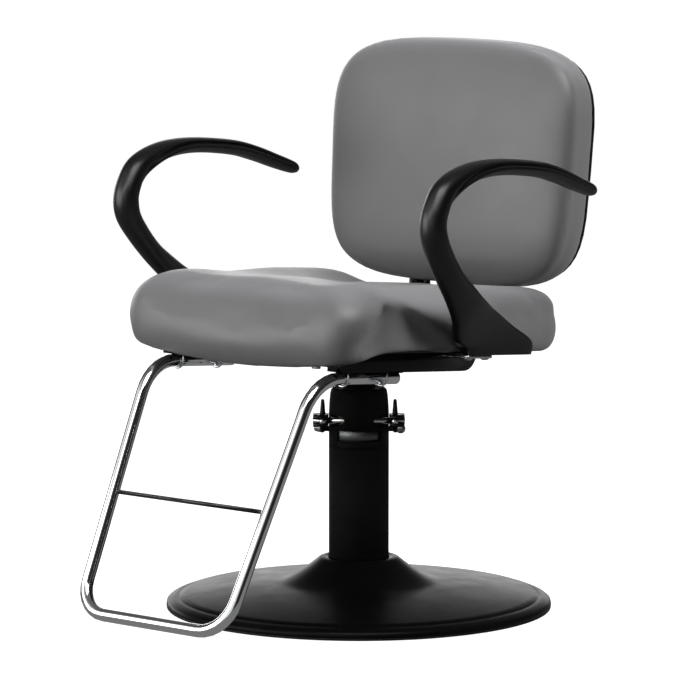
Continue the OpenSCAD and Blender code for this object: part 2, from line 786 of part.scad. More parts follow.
// Rounded outline of the seat, every edge pulled in by the inset; corner radii r_front and r_rear
function seat_outline(inset, r_front = 62, r_rear = 42) =
    let (x = seat_w/2 - inset, y0 = seat_front + inset, y1 = seat_rear - inset,
         rf = max(r_front - 0.3*inset, 12), rr = max(r_rear - 0.2*inset, 12),
         corners = [[x - rr, y1 - rr, rr, 0], [rr - x, y1 - rr, rr, 90],
             [rf - x, y0 + rf, rf, 180], [x - rf, y0 + rf, rf, 270]],
         walls = [[0, 1], [-1, 0], [0, -1], [1, 0]])
    [for (k = [0:3]) let (c = corners[k], d = corners[(k + 1) % 4],
        p = [c[0], c[1]] + c[2]*walls[k], q = [d[0], d[1]] + d[2]*walls[k])
        each concat([for (t = [0:15:75]) [c[0] + c[2]*cos(c[3] + t), c[1] + c[2]*sin(c[3] + t)]],
            [for (t = [0:5]) p + (q - p)*t/6])];

// Fall of the seat's top skin: two valleys beside a low crown, deepest towards the back
function saddle(x, y) = let (v = abs(x)/seat_w)
    seat_dish*(0.3 + 0.7*smooth((y - seat_mid + 150)/330))
        *(v < 0.2 ? 1 - 0.45*(1 - smooth(v/0.2)) : 1 - smooth((v - 0.2)/0.2));
function front_lip(x, y) = front_drop*smooth((seat_front + 120 - y)/95)*(1 - 0.62*pow(2*x/seat_w, 2));

// Level, inset from the outline, and share of the front lip and of the saddle, bottom to top
seat_levels = [[1, 16, 1, 0], [5, 9, 0.96, 0], [14, 3.5, 0.85, 0], [27, 0.6, 0.65, 0], [42, 0, 0.4, 0],
    [58, 2, 0.15, 0], [74, 8, 0.05, 0.08], [87, 18, 0, 0.3], [97, 32, 0, 0.6], [102.5, 50, 0, 0.85],
    [105, 80, 0, 1], [105, 130, 0, 1], [104, 185, 0, 1]];

function seat_ring(l) = [for (p = seat_outline(l[1]))
    [p[0], p[1], l[0]*seat_t/105 - l[2]*front_lip(p[0], p[1]) - l[3]*saddle(p[0], p[1])]];

module seat_cushion() {
    color(grey_vinyl) seat_side() difference() {
        skin([for (l = seat_levels) seat_ring(l)]);
        translate([0, (board_front + board_rear)/2, -80])
            rounded_block(2*board_x + 2*gap, board_rear - board_front + 2*gap, 80 + board_t + gap,
                board_corner + gap);
    }
}

// Outline of the back, looking at its front, with every edge pulled in by the inset
function back_outline(inset, n = 48) = [for (p = squircle(back_w/2 - inset, back_h/2 - inset, n, 0.46))
    let (u = 2*p[0]/back_w, v = 2*p[1]/back_h)
    [p[0]*(1 + 2*back_taper*v/back_w), p[1] + back_mid_z + back_arch*(1 - u*u)*(v > 0 ? v : 0.15*v)]];

// Distance behind the cushion's front, and inset
back_levels = [[0, 165], [1.2, 115], [3.6, 78], [6.5, 52], [9.4, 34], [13, 19], [18, 8.5], [24.5, 2.8],
    [33, 0.5], [45, 0], [60, 0], [68, 1], [74, 4]];

module back_cushion() {
    color(grey_vinyl) seat_side() difference() {
        skin([for (l = back_levels)
            [for (p = back_outline(l[1])) [p[0], back_front_y + l[0]*back_t/74, p[1]]]]);
        back_slab(back_y - back_board_t - gap, back_board_t + 2, board_edge - gap);
    }
}

module back_slab(y, t, inset) {
    translate([0, y + t, 0]) rotate([90, 0, 0]) linear_extrude(t) polygon(back_outline(inset));
}

module at_back_bolts() {
    for (z = [back_lift + 70, bar_top - 25]) translate([bar_x, bar_y + bar_t, z])
        rotate([90, 0, 0]) children();
}

module back_board() {
    color("#232323") seat_side() difference() {
        back_slab(back_y - back_board_t - touch, back_board_t, board_edge);
        mirrored() at_back_bolts() cylinder(r = 3 + touch, h = bar_t + back_board_t - 1);
    }
}

// Two flat bars, bolted under the seat board, bent up behind the seat and bolted to the back board
module back_bars() {
    y = bar_y + bar_t - bar_bend - bar_t;
    color(black) seat_side() mirrored() difference() {
        translate([bar_x - bar_w/2, 0, 0]) union() {
            translate([0, bar_start, -bar_t]) cube([bar_w, y - bar_start, bar_t]);
            translate([0, y, bar_bend]) rotate([0, 90, 0])
                rotate_extrude(angle = 90) translate([bar_bend, 0]) square([bar_t, bar_w]);
            translate([0, bar_y, bar_bend]) cube([bar_w, bar_t, bar_top - bar_bend]);
        }
        at_back_bolts() translate([0, 0, -1]) cylinder(r = 3 + touch, h = bar_t + 2);
        at_bar_bolts() translate([0, 0, -bar_t - 1]) cylinder(r = m8 + touch, h = bar_t + 2);
    }
}

module at_bar_bolts() {
    for (y = [bar_start + 20, bar_start + 70]) translate([bar_x, y, 0]) children();
}

module bar_bolts() {
    color(steel) seat_side() mirrored() at_bar_bolts() translate([0, 0, -bar_t])
        dome_bolt(2*m8, bar_t + board_t - 2, 19, 5);
}

module back_bolts() {
    color(steel) seat_side() mirrored() at_back_bolts() dome_bolt(6, bar_t + back_board_t - 2, 13, 4);
}

// Moulded cover over the back board and bars
module back_shell() {
    color(black) seat_side() difference() {
        union() {
            back_slab(back_y + gap, 5.5, 5);
            back_slab(back_y + gap + 4, 5, 10);
            back_slab(back_y + gap + 8, shell_y - back_y - 8 - gap, 18);
        }
        back_slab(back_y - 1, shell_y - shell_t - back_y + 1, 26);
        mirrored() translate([bar_x, bar_y + bar_t/2, back_lift + 10])
            cube([bar_w + 1, bar_t + 1.2, 50], center = true);
        at_shell_screws() cylinder(r = 2 + touch, h = 30, center = true);
    }
}

module at_shell_screws() {
    for (i = [-1, 1]) for (z = [back_lift + 60, back_lift + back_h - 60])
        translate([i*(back_w/2 - 62), shell_y, z]) rotate([90, 0, 0]) children();
}

module shell_screws() {
    color(steel) seat_side() at_shell_screws() dome_bolt(4, shell_y - back_y - gap, 9, 2.2);
}

// ---------- arms ----------

// Rows up the arm: y, z, share of the splay, half depth, half width, tilt and squareness of the
// section, and how far it leans outwards
arm_rows = [
    [22, 0, 0, 75, arm_foot_w/2, 0, 0.35, 0],
    [14, 17, 0.03, 80, arm_foot_w/2, 3, 0.38, 0.15],
    [-20, 31, 0.13, 58, arm_foot_w/2 + 0.5, 15, 0.5, 0.3],
    [-57, 47, 0.32, 42, 14, 33, 0.7, 0.42],
    [-94, 71, 0.6, 30, 15, 46, 0.85, 0.45],
    [-126, 95, 0.76, 24.5, 16.5, 50, 0.95, 0.4],
    [-158, 120, 0.87, 20.5, 18.5, 48, 1, 0.3],
    [-187, 149, 0.95, 20, 19.5, 40, 1, 0.2],
    [-207, 175, 1, 20.5, 20.5, 22, 1, 0.1],
    [-arm_reach, 201, 1, 20.5, 20.5, 0, 1, 0],
    [-209, 225, 1, 20, 20.5, -18, 1, 0],
    [-193, 252, 1, 18.5, 20.5, -40, 1, 0],
    [-160, arm_rise - 19, 1, 15.5, 21, -64, 0.95, 0],
    [-114, arm_rise - 5.6, 1, 13.5, 21, -80, 0.9, 0],
    [-54, arm_rise, 1, 12.5, 20.5, -89, 0.88, 0],
    [26, arm_rise - 2, 0.99, 12.5, 20, -96, 0.88, 0],
    [77, arm_rise - 10, 0.96, 12.5, 18.5, -101, 0.9, 0],
    [126, arm_rise - 21.5, 0.92, 12, 16, -104, 0.95, 0],
    [165, arm_rise - 30.5, 0.88, 10.5, 13, -106, 1, 0],
    [176, arm_rise - 33.2, 0.87, 7.5, 9, -106, 1, 0]];

function arm_ring(r) =
    let (x = arm_foot_x + r[2]*arm_splay, u = unit([r[7]*sin(r[5]), cos(r[5]), sin(r[5])]))
    [for (i = [0:19]) let (a = i*18) [x, r[0], r[1]] + u*r[3]*power(cos(a), r[6])
        + [-r[4]*power(sin(a), r[6]), 0, 0]];

module right_arm() {
    steps = 2*(len(arm_rows) - 1);
    color(black) seat_side() skin([for (i = [0:steps]) arm_ring(spline(arm_rows, i/2))]);
}

module left_arm() {
    mirror([1, 0, 0]) right_arm();
}

// Flat straps from under the seat board to the arms' feet
module arm_brackets() {
    w = 32;
    foot_l = 62;
    color(steel) seat_side() mirrored() difference() {
        translate([0, 0, -bracket_t]) linear_extrude(bracket_t - touch) {
            translate([rail_x + rail_w/2 + gap, bracket_y - w/2])
                square([arm_in_x + arm_foot_w - 4 - rail_x - rail_w/2 - gap, w]);
            translate([arm_foot_x - 0.5, bracket_y]) rounded_rect(arm_foot_w - 5, foot_l, 8);
        }
        at_bracket_bolts() translate([0, 0, -bracket_t - 1]) cylinder(r = 3 + touch, h = bracket_t + 2);
        at_arm_bolts() translate([0, 0, -bracket_t - 1]) cylinder(r = 4 + touch, h = bracket_t + 2);
    }
}

module at_bracket_bolts() {
    for (x = [board_x - 22, board_x - 9]) translate([x, bracket_y, 0]) children();
}

module at_arm_bolts() {
    for (s = [-1, 1]) translate([arm_foot_x, bracket_y + s*20, 0]) children();
}

module bracket_bolts() {
    color(steel) seat_side() mirrored() at_bracket_bolts() translate([0, 0, -bracket_t])
        dome_bolt(6, bracket_t + board_t - 2, 11, 3);
}

module arm_bolts() {
    color(steel) seat_side() mirrored() at_arm_bolts() translate([0, 0, -bracket_t])
        dome_bolt(8, bracket_t + 12, 14, 3.5);
}

base_plate();
base_gasket();
mount_plate();
base_bolts();
column_tube();
pump_head();
window_sleeve();
inner_cylinder();
cylinder_plug();
pump_body();
ram_bush();
ram_wiper();
shaft_bushes();
oil_plug();
rocker_shaft();
rocker_arm();
shaft_clamps();
clamp_bolts();
pedal_bar();
pedal_pad();
pedal_knuckle();
pump_plungers();
plunger_springs();
ram();
piston();
piston_ring();
thrust_bearing();
spindle_clip();
swivel_hub();
swivel_bush();
hub_bolts();
seat_frame();
frame_bolts();
footrest_tube();
footrest_rod();
footrest_ubolts();
footrest_nuts();
seat_board();
seat_cushion();
arm_brackets();
bracket_bolts();
arm_bolts();
left_arm();
right_arm();
back_bars();
bar_bolts();
back_board();
back_cushion();
back_shell();
back_bolts();
shell_screws();
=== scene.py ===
"""Looks, lights and camera for a hydraulic salon styling chair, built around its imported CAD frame."""
import json
import math

import bpy
import bmesh
import numpy as np
from mathutils import Matrix, Vector


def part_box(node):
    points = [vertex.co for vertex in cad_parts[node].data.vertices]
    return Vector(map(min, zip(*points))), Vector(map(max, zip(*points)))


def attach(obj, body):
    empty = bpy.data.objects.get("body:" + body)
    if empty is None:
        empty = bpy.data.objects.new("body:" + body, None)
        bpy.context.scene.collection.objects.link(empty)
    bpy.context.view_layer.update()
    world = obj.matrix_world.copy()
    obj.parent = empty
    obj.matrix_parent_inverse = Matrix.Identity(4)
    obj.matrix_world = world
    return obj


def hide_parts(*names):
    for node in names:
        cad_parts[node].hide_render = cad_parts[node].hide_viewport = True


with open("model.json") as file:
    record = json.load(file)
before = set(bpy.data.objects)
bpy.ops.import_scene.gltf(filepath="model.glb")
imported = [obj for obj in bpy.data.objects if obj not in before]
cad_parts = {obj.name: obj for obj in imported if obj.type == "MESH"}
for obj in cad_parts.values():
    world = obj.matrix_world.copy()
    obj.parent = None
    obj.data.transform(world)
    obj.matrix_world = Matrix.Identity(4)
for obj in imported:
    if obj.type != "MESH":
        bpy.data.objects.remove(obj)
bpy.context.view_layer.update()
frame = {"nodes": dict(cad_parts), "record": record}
nodes = frame["nodes"]


# ---------------------------------------------------------------- frames of reference
TILT = math.radians(4.8)          # backward tilt of the seat unit
BOARD_REAR = 0.190                # distance of the seat board's rear edge behind the column's axis
PLANE_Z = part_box("seat_board")[0].z + BOARD_REAR * math.sin(TILT)


def seat_to_row(p):
    """Points of the tilted seat, in metres, to the row frame."""
    p = np.asarray(p, float).reshape(-1, 3)
    c, s = math.cos(TILT), math.sin(TILT)
    return np.stack([p[:, 0], p[:, 1] * c + p[:, 2] * s, -p[:, 1] * s + p[:, 2] * c + PLANE_Z], 1)


def row_to_seat(p):
    """The way back from the row frame to the tilted seat."""
    c, s = math.cos(TILT), math.sin(TILT)
    y, z = p[:, 1], p[:, 2] - PLANE_Z
    return np.stack([p[:, 0], y * c - z * s, y * s + z * c], 1)


def smooth(t):
    """0 to 1 with soft ends, as t goes from 0 to 1."""
    t = np.clip(t, 0, 1)
    return t * t * (3 - 2 * t)


def bell(x, centre, width):
    """1 at the centre, falling smoothly to both sides."""
    return np.exp(-((x - centre) / width) ** 2)


def spline_rows(rows, t):
    """The row at t along a smooth curve through all rows; t runs from 0 to the last row's number."""
    rows = np.asarray(rows, float)
    n = len(rows) - 1
    i = min(int(t), n - 1)
    f = t - i
    a, b, c, d = rows[max(i - 1, 0)], rows[i], rows[i + 1], rows[min(i + 2, n)]
    square, cube = 2 * a - 5 * b + 4 * c - d, 3 * b - a - 3 * c + d
    return 0.5 * (2 * b + (c - a) * f + square * f * f + cube * f ** 3)


def new_mesh(name, verts, faces):
    mesh = bpy.data.meshes.new(name)
    mesh.from_pydata([tuple(v) for v in verts], [], faces)
    mesh.validate()
    obj = bpy.data.objects.new(name, mesh)
    bpy.context.scene.collection.objects.link(obj)
    mesh.shade_smooth()
    return obj


def skin(name, rings):
    """Closed skin over a stack of rings of equal length, with a fan at each end."""
    n, m = len(rings[0]), len(rings)
    verts = [p for r in rings for p in r]
    faces = []
    for k in range(m - 1):
        for i in range(n):
            j = (i + 1) % n
            faces.append((k * n + i, k * n + j, (k + 1) * n + j, (k + 1) * n + i))
    verts.append(np.mean(rings[0], axis=0))
    faces += [(len(verts) - 1, (i + 1) % n, i) for i in range(n)]
    verts.append(np.mean(rings[-1], axis=0))
    faces += [(len(verts) - 1, (m - 1) * n + i, (m - 1) * n + (i + 1) % n) for i in range(n)]
    obj = new_mesh(name, verts, faces)
    bm = bmesh.new()
    bm.from_mesh(obj.data)
    bmesh.ops.recalc_face_normals(bm, faces=bm.faces)
    bm.to_mesh(obj.data)
    bm.free()
    obj.data.shade_smooth()
    return obj


# ---------------------------------------------------------------- materials
def add_node(tree, kind, inputs=(), **settings):
    """A new node in a tree, with its inputs set by name or number and its settings by name."""
    node = tree.nodes.new(kind)
    for key, value in settings.items():
        setattr(node, key, value)
    for key, value in dict(inputs).items():
        node.inputs[key].default_value = value
    return node


def grey(level):
    """A grey colour, with the opacity that colour inputs want."""
    return level, level, level, 1


class Nodes:
    """Short way to wire one node material."""

    def __init__(self, name):
        self.mat = bpy.data.materials.new(name)
        self.mat.use_nodes = True
        self.tree = self.mat.node_tree
        self.bsdf = self.tree.nodes["Principled BSDF"]
        coord = self.tree.nodes.new("ShaderNodeTexCoord")
        self.coord = coord.outputs["Object"]

    def add(self, kind, inputs=(), **settings):
        return add_node(self.tree, kind, inputs, **settings)

    def link(self, a, b):
        self.tree.links.new(a, b)

    def noise(self, scale, detail=3.0):
        node = self.add("ShaderNodeTexNoise", {"Scale": scale, "Detail": detail, "Roughness": 0.55})
        self.link(self.coord, node.inputs["Vector"])
        return node.outputs["Fac"]

    def ramp(self, source, low, high, a=0.3, b=0.7):
        """Maps the source's span from a to b onto low to high."""
        node = self.add("ShaderNodeMapRange", {"From Min": a, "From Max": b, "To Min": low, "To Max": high})
        self.link(source, node.inputs["Value"])
        return node.outputs["Result"]

    def tint(self, source, dark, light):
        """Blends two colours by the source."""
        node = self.add("ShaderNodeMix", data_type="RGBA")
        first, second = [s for s in node.inputs if s.type == "RGBA"]
        first.default_value = (*dark, 1)
        second.default_value = (*light, 1)
        self.link(source, node.inputs[0])
        return [s for s in node.outputs if s.type == "RGBA"][0]

    def bump(self, source, distance, strength=0.5, after=None):
        node = self.add("ShaderNodeBump", {"Strength": strength, "Distance": distance})
        self.link(source, node.inputs["Height"])
        if after is not None:
            self.link(after, node.inputs["Normal"])
        return node.outputs["Normal"]


def around(colour, spread):
    """A darker and a lighter colour, by a share of the colour given."""
    return tuple(c * (1 - spread) for c in colour), tuple(min(c * (1 + spread), 1) for c in colour)


def coated(name, colour, rough, grain, depth, spread=0.08, metal=0.0, specular=0.24):
    """Paint, plastic, rubber or plated metal: fine grain, a broad tone change and uneven gloss."""
    n = Nodes(name)
    broad = n.noise(9.0, 4.0)
    dark, light = around(colour, spread)
    n.link(n.tint(n.ramp(broad, 0, 1), dark, light), n.bsdf.inputs["Base Color"])
    n.link(n.ramp(n.noise(23.0, 5.0), rough * 0.88, rough * 1.12), n.bsdf.inputs["Roughness"])
    fine = n.bump(n.noise(grain, 2.0), depth, 0.6)
    n.link(n.bump(broad, 0.0003, 0.15, fine), n.bsdf.inputs["Normal"])
    n.bsdf.inputs["Metallic"].default_value = metal
    n.bsdf.inputs["Specular IOR Level"].default_value = specular
    return n.mat


def vinyl_material():
    """Grey cover with a pebbled leather grain, a faint tone change and slow waves."""
    n = Nodes("grey_vinyl")
    cells = n.add("ShaderNodeTexVoronoi", {"Scale": 620.0}, feature="DISTANCE_TO_EDGE")
    warp = n.add("ShaderNodeVectorMath", operation="ADD")
    jitter = n.add("ShaderNodeTexNoise", {"Scale": 160.0, "Detail": 2.0})
    shift = n.add("ShaderNodeVectorMath", {"Scale": 0.0016}, operation="SCALE")
    n.link(n.coord, jitter.inputs["Vector"])
    n.link(jitter.outputs["Color"], shift.inputs[0])
    n.link(n.coord, warp.inputs[0])
    n.link(shift.outputs["Vector"], warp.inputs[1])
    n.link(warp.outputs["Vector"], cells.inputs["Vector"])
    broad = n.noise(6.0, 4.0)
    dark, light = around(VINYL, 0.05)
    n.link(n.tint(n.ramp(broad, 0, 1), dark, light), n.bsdf.inputs["Base Color"])
    n.link(n.ramp(n.noise(31.0, 4.0), 0.37, 0.44), n.bsdf.inputs["Roughness"])
    pebble = n.bump(n.ramp(cells.outputs["Distance"], 0, 1, 0.0, 0.12), 0.00009, 0.35)
    n.link(n.bump(n.noise(38.0, 3.0), 0.0006, 0.10, pebble), n.bsdf.inputs["Normal"])
    n.bsdf.inputs["Specular IOR Level"].default_value = 0.55
    return n.mat


def brushed(name, colour, rough):
    """Bare or plated metal with fine lines round the vertical."""
    n = Nodes(name)
    stretch = n.add("ShaderNodeMapping", {"Scale": (1.0, 1.0, 14.0)})
    n.link(n.coord, stretch.inputs["Vector"])
    lines = n.add("ShaderNodeTexNoise", {"Scale": 140.0, "Detail": 4.0})
    n.link(stretch.outputs["Vector"], lines.inputs["Vector"])
    dark, light = around(colour, 0.10)
    n.link(n.tint(n.ramp(n.noise(14.0), 0, 1), dark, light), n.bsdf.inputs["Base Color"])
    n.link(n.ramp(lines.outputs["Fac"], rough * 0.8, rough * 1.25), n.bsdf.inputs["Roughness"])
    n.link(n.bump(lines.outputs["Fac"], 0.00003, 0.3), n.bsdf.inputs["Normal"])
    n.bsdf.inputs["Metallic"].default_value = 1.0
    return n.mat


def wood_material():
    """Black-painted board with its plies and grain showing through."""
    n = Nodes("painted_plywood")
    stretch = n.add("ShaderNodeMapping", {"Scale": (1.0, 12.0, 40.0)})
    n.link(n.coord, stretch.inputs["Vector"])
    grain = n.add("ShaderNodeTexNoise", {"Scale": 9.0, "Detail": 6.0})
    n.link(stretch.outputs["Vector"], grain.inputs["Vector"])
    paint, worn = (0.006, 0.006, 0.006), (0.016, 0.015, 0.014)
    n.link(n.tint(n.ramp(grain.outputs["Fac"], 0, 1), paint, worn), n.bsdf.inputs["Base Color"])
    n.link(n.bump(grain.outputs["Fac"], 0.0003, 0.3), n.bsdf.inputs["Normal"])
    n.bsdf.inputs["Roughness"].default_value = 0.65
    return n.mat


VINYL = (0.185, 0.185, 0.19)
BLACK = (0.0045, 0.0045, 0.005)
materials = {
    "base_paint": coated("base_powder_coat", BLACK, 0.33, 900.0, 0.00005, specular=0.06),
    "pump_paint": coated("pump_powder_coat", BLACK, 0.80, 700.0, 0.00009, specular=0.12),
    "pedal_paint": coated("pedal_powder_coat", BLACK, 0.38, 800.0, 0.00006),
    "frame_paint": coated("frame_enamel", (0.005, 0.005, 0.0055), 0.22, 300.0, 0.00003),
    "zinc": brushed("zinc_plate", (0.62, 0.63, 0.65), 0.24),
    "dark_steel": brushed("oiled_steel", (0.22, 0.22, 0.23), 0.35),
    "window_steel": brushed("drawn_sleeve", (0.15, 0.153, 0.153), 0.45),
    "chrome": coated("bright_chrome", (0.84, 0.85, 0.86), 0.055, 500.0, 0.000004, 0.02, 1.0),
    "rod_steel": coated("black_plated_rod", (0.02, 0.02, 0.021), 0.16, 400.0, 0.00001, 0.05, specular=0.5),
    "ram_steel": brushed("ground_chrome", (0.74, 0.75, 0.76), 0.14),
    "bronze": brushed("bearing_bronze", (0.10, 0.07, 0.04), 0.45),
    "cast": coated("cast_iron", (0.20, 0.20, 0.21), 0.55, 260.0, 0.00025, 0.15, 0.9),
    "rubber": coated("black_rubber", (0.009, 0.009, 0.009), 0.68, 500.0, 0.00006),
    "urethane": coated("urethane_skin", (0.0035, 0.0035, 0.0038), 0.33, 620.0, 0.00006, specular=0.46),
    "shell": coated("shell_moulding", (0.006, 0.006, 0.0065), 0.42, 420.0, 0.00012),
    "vinyl": vinyl_material(),
    "plywood": wood_material(),
}
slots = {s["node"]: s["material_slot"] for s in frame["record"]["subparts"]}
for name, obj in nodes.items():
    obj.data.materials.clear()
    obj.data.materials.append(materials[slots[name]])


def dress(obj, slot, body):
    """Gives a piece its material and ties it to its body."""
    obj.data.materials.clear()
    obj.data.materials.append(materials[slot])
    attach(obj, body)


# Smooth shading with creases kept, on the CAD parts that stay in view
WELD_DISTANCE = 0.00001
CREASE_ANGLE = math.radians(32)
for obj in nodes.values():
    weld = obj.modifiers.new("weld", "WELD")
    weld.merge_threshold = WELD_DISTANCE
    obj.data.shade_smooth()
    obj.data.set_sharp_from_angle(angle=CREASE_ANGLE)

# ---------------------------------------------------------------- cushions
SEAT_W, SEAT_REAR, SEAT_FRONT = 0.499, 0.213, -0.309
SEAT_MID = (SEAT_REAR + SEAT_FRONT) / 2
SEAT_TOP = 0.105                 # level of the seat's top over the seat board's underside
FRONT_CORNER_R, REAR_CORNER_R = 0.062, 0.042
SADDLE_DEPTH = 0.028
WAIST_DEPTH, WAIST_Y = 0.006, -0.13
FRONT_DROP = 0.034
REAR_TIGHTNESS = 0.62            # share of the top edge's rounding that is taken back at the rear
FOLD_Y, FOLD_TOP, FOLD_HEIGHT, FOLD_DEPTH = -0.194, 0.090, 0.076, 0.023


def evenly(pts, n):
    """n points at even distances along a closed line of points."""
    pts = np.vstack([pts, pts[:1]])
    run = np.concatenate([[0], np.cumsum(np.linalg.norm(np.diff(pts, axis=0), axis=1))])
    s = np.linspace(0, run[-1], n, endpoint=False)
    return np.stack([np.interp(s, run, pts[:, 0]), np.interp(s, run, pts[:, 1])], 1)


def rounded_outline(half, y0, y1, r_front, r_rear, n):
    """n points round a rounded rectangle, evenly spaced, counter-clockwise from +X at the rear."""
    corners = ((half - r_rear, y1 - r_rear, r_rear, 0), (r_rear - half, y1 - r_rear, r_rear, 90),
               (r_front - half, y0 + r_front, r_front, 180), (half - r_front, y0 + r_front, r_front, 270))
    pts = []
    for cx, cy, r, a0 in corners:
        for a in np.linspace(a0, a0 + 90, 25):
            pts.append((cx + r * math.cos(math.radians(a)), cy + r * math.sin(math.radians(a))))
    return evenly(np.array(pts), n)


def saddle(x, y):
    """Fall of the top: two valleys beside a low crown, deepest towards the back."""
    v = np.abs(x) / SEAT_W
    deep = 0.3 + 0.7 * smooth((y - SEAT_MID + 0.15) / 0.33)
    crown, slope = 1 - 0.45 * (1 - smooth(v / 0.2)), 1 - smooth((v - 0.2) / 0.2)
    return SADDLE_DEPTH * deep * np.where(v < 0.2, crown, slope)


def waist(x, y):
    """Fall of the top's side edges where the folds below pull on them."""
    return WAIST_DEPTH * bell(y, WAIST_Y, 0.07) * smooth((np.abs(x) - 0.10) / 0.10)


def front_lip(x, y):
    """Drop of the cover's lower edge along the front, deepest in the middle."""
    return FRONT_DROP * smooth((SEAT_FRONT + 0.12 - y) / 0.095) * (1 - 0.62 * (2 * x / SEAT_W) ** 2)


def side_pinch(x, y, z):
    """Inward pull of the cover on each side: two folds that part from a point behind the front corner."""
    h = np.clip((FOLD_TOP - z) / FOLD_HEIGHT, 0, 1.2)
    front, rear = FOLD_Y - 0.100 * h ** 0.95, FOLD_Y + 0.136 * h ** 0.85
    t = (y - front) / np.maximum(rear - front, 0.055)
    inside = smooth(t / 0.20) * (1 - smooth((t - 0.80) / 0.22))
    fold = 0.42 + 0.58 * (bell(t, 0.19, 0.15) + 0.9 * bell(t, 0.76, 0.17))
    fade = smooth(h / 0.35) * smooth((np.abs(x) - 0.17) / 0.05) * smooth((z + 0.012) / 0.03)
    return FOLD_DEPTH * inside * fold * fade


SEAT_PROFILE = [  # level, inset, share of the front lip, share of the saddle
    [0.001, 0.016, 1, 0], [0.005, 0.009, 0.96, 0], [0.014, 0.0035, 0.85, 0], [0.027, 0.0006, 0.65, 0],
    [0.042, 0, 0.4, 0], [0.058, 0.002, 0.15, 0], [0.074, 0.008, 0.05, 0.08], [0.087, 0.018, 0, 0.3],
    [0.097, 0.032, 0, 0.6], [0.1025, 0.050, 0, 0.85], [0.105, 0.080, 0, 1], [0.105, 0.130, 0, 1],
    [0.104, 0.185, 0, 1]]


def seat_cushion_rings(shrink, n=220, steps=4):
    """Rings of the seat's cover, bottom to top, drawn in by the shrink that the simulation blows up."""
    rings = []
    last = len(SEAT_PROFILE) - 1
    for k in range(last * steps + 1):
        level, inset, lip, dip = spline_rows(SEAT_PROFILE, k / steps)
        inset += shrink
        square_rear = REAR_TIGHTNESS * smooth((level - 0.060) / 0.02)
        r_front = max(FRONT_CORNER_R - 0.3 * inset, 0.012)
        r_rear = max(REAR_CORNER_R - 0.2 * inset, 0.012)
        half = SEAT_W / 2 - inset
        x, y = rounded_outline(half, SEAT_FRONT + inset, SEAT_REAR - inset, r_front, r_rear, n).T
        z = level - lip * front_lip(x, y) - dip * saddle(x, y)
        z = z - shrink * smooth(level / SEAT_TOP) - dip * waist(x, y)
        # the top edge is pushed back out towards the rear, where it is squarer than along the front
        push = 1 + square_rear * smooth((y + 0.02) / 0.12) * min(inset, 0.035) / half
        x, y = x * push, y + (push - 1) * 0.6 * np.maximum(y, 0)
        x = x - np.sign(x) * side_pinch(x, y, z)
        rings.append(seat_to_row(np.stack([x, y, z], 1)))
    return rings


BACK_W, BACK_H, BACK_T, BACK_FRONT, BACK_LIFT = 0.505, 0.383, 0.074, 0.171, 0.093
BACK_SQUARENESS = 0.46           # power of the superellipse that is the back's outline
BACK_TAPER, BACK_CROWN, BACK_ROLL = 0.007, 0.010, 0.011
BACK_PROFILE = [  # distance behind the front, inset
    [0, 0.170], [0.0012, 0.120], [0.0036, 0.080], [0.0065, 0.054], [0.0094, 0.036], [0.0132, 0.021],
    [0.0180, 0.0100], [0.0245, 0.0036], [0.0330, 0.0012], [0.0375, 0.0027], [0.0420, 0.0012],
    [0.0520, 0], [0.0620, 0.0002], [0.0690, 0.0016], [0.0735, 0.005]]


def power(v, e):
    """v to the power of e, with v's sign."""
    return np.sign(v) * np.abs(v) ** e


def back_cushion_rings(shrink, n=200, steps=4):
    """Rings of the back's cover, front to rear, drawn in by the shrink that the simulation blows up."""
    rings = []
    last = len(BACK_PROFILE) - 1
    t = np.linspace(0, 2 * np.pi, n * 4, endpoint=False)
    for k in range(last * steps + 1):
        depth, inset = spline_rows(BACK_PROFILE, k / steps)
        inset += shrink
        x = (BACK_W / 2 - inset) * power(np.cos(t), BACK_SQUARENESS)
        z = (BACK_H / 2 - inset) * power(np.sin(t), BACK_SQUARENESS)
        x, z = evenly(np.stack([x, z], 1), n).T
        u, v = 2 * x / BACK_W, 2 * z / BACK_H
        x = x * (1 + 2 * BACK_TAPER * v / BACK_W)
        z = z + BACK_LIFT + BACK_H / 2 + BACK_CROWN * (1 - u * u) * np.where(v > 0, v, 0.15 * v)
        # the lower edge rolls under
        roll = BACK_ROLL * smooth((-v - 0.74) / 0.26) * (1 - depth / BACK_T)
        y = BACK_FRONT + depth + shrink * (1 - depth / BACK_T) + roll
        rings.append(seat_to_row(np.stack([x, y, z], 1)))
    return rings


def bake(obj):
    """Replaces an object's mesh with what its modifiers make of it."""
    bpy.context.view_layer.update()
    depsgraph = bpy.context.evaluated_depsgraph_get()
    mesh = bpy.data.meshes.new_from_object(obj.evaluated_get(depsgraph))
    obj.modifiers.clear()
    old = obj.data
    obj.data = mesh
    bpy.data.meshes.remove(old)


def remesh(obj, voxel):
    """Even quads all over the skin."""
    mod = obj.modifiers.new("remesh", "REMESH")
    mod.mode = "VOXEL"
    mod.voxel_size = voxel
    mod.adaptivity = 0
    bake(obj)


def coords(obj):
    co = np.zeros(len(obj.data.vertices) * 3)
    obj.data.vertices.foreach_get("co", co)
    return co.reshape(-1, 3)


def set_coords(obj, co):
    obj.data.vertices.foreach_set("co", np.asarray(co, np.float32).ravel())
    obj.data.update()


def relax(obj, rounds, share=None):
    """Smooths a cover, all over or by the share given for each point."""
    mod = obj.modifiers.new("relax", "SMOOTH")
    mod.iterations = rounds
    mod.factor = 0.5
    if share is not None:
        group = obj.vertex_groups.new(name="soft")
        for k in np.nonzero(share > 0.05)[0].tolist():
            group.add([k], float(share[k]), "REPLACE")
        mod.vertex_group = "soft"
    bake(obj)


CLOTH_STIFFNESS = 12.0
CLOTH_FRAMES = 20
CLOTH_PRESSURE = 4.0


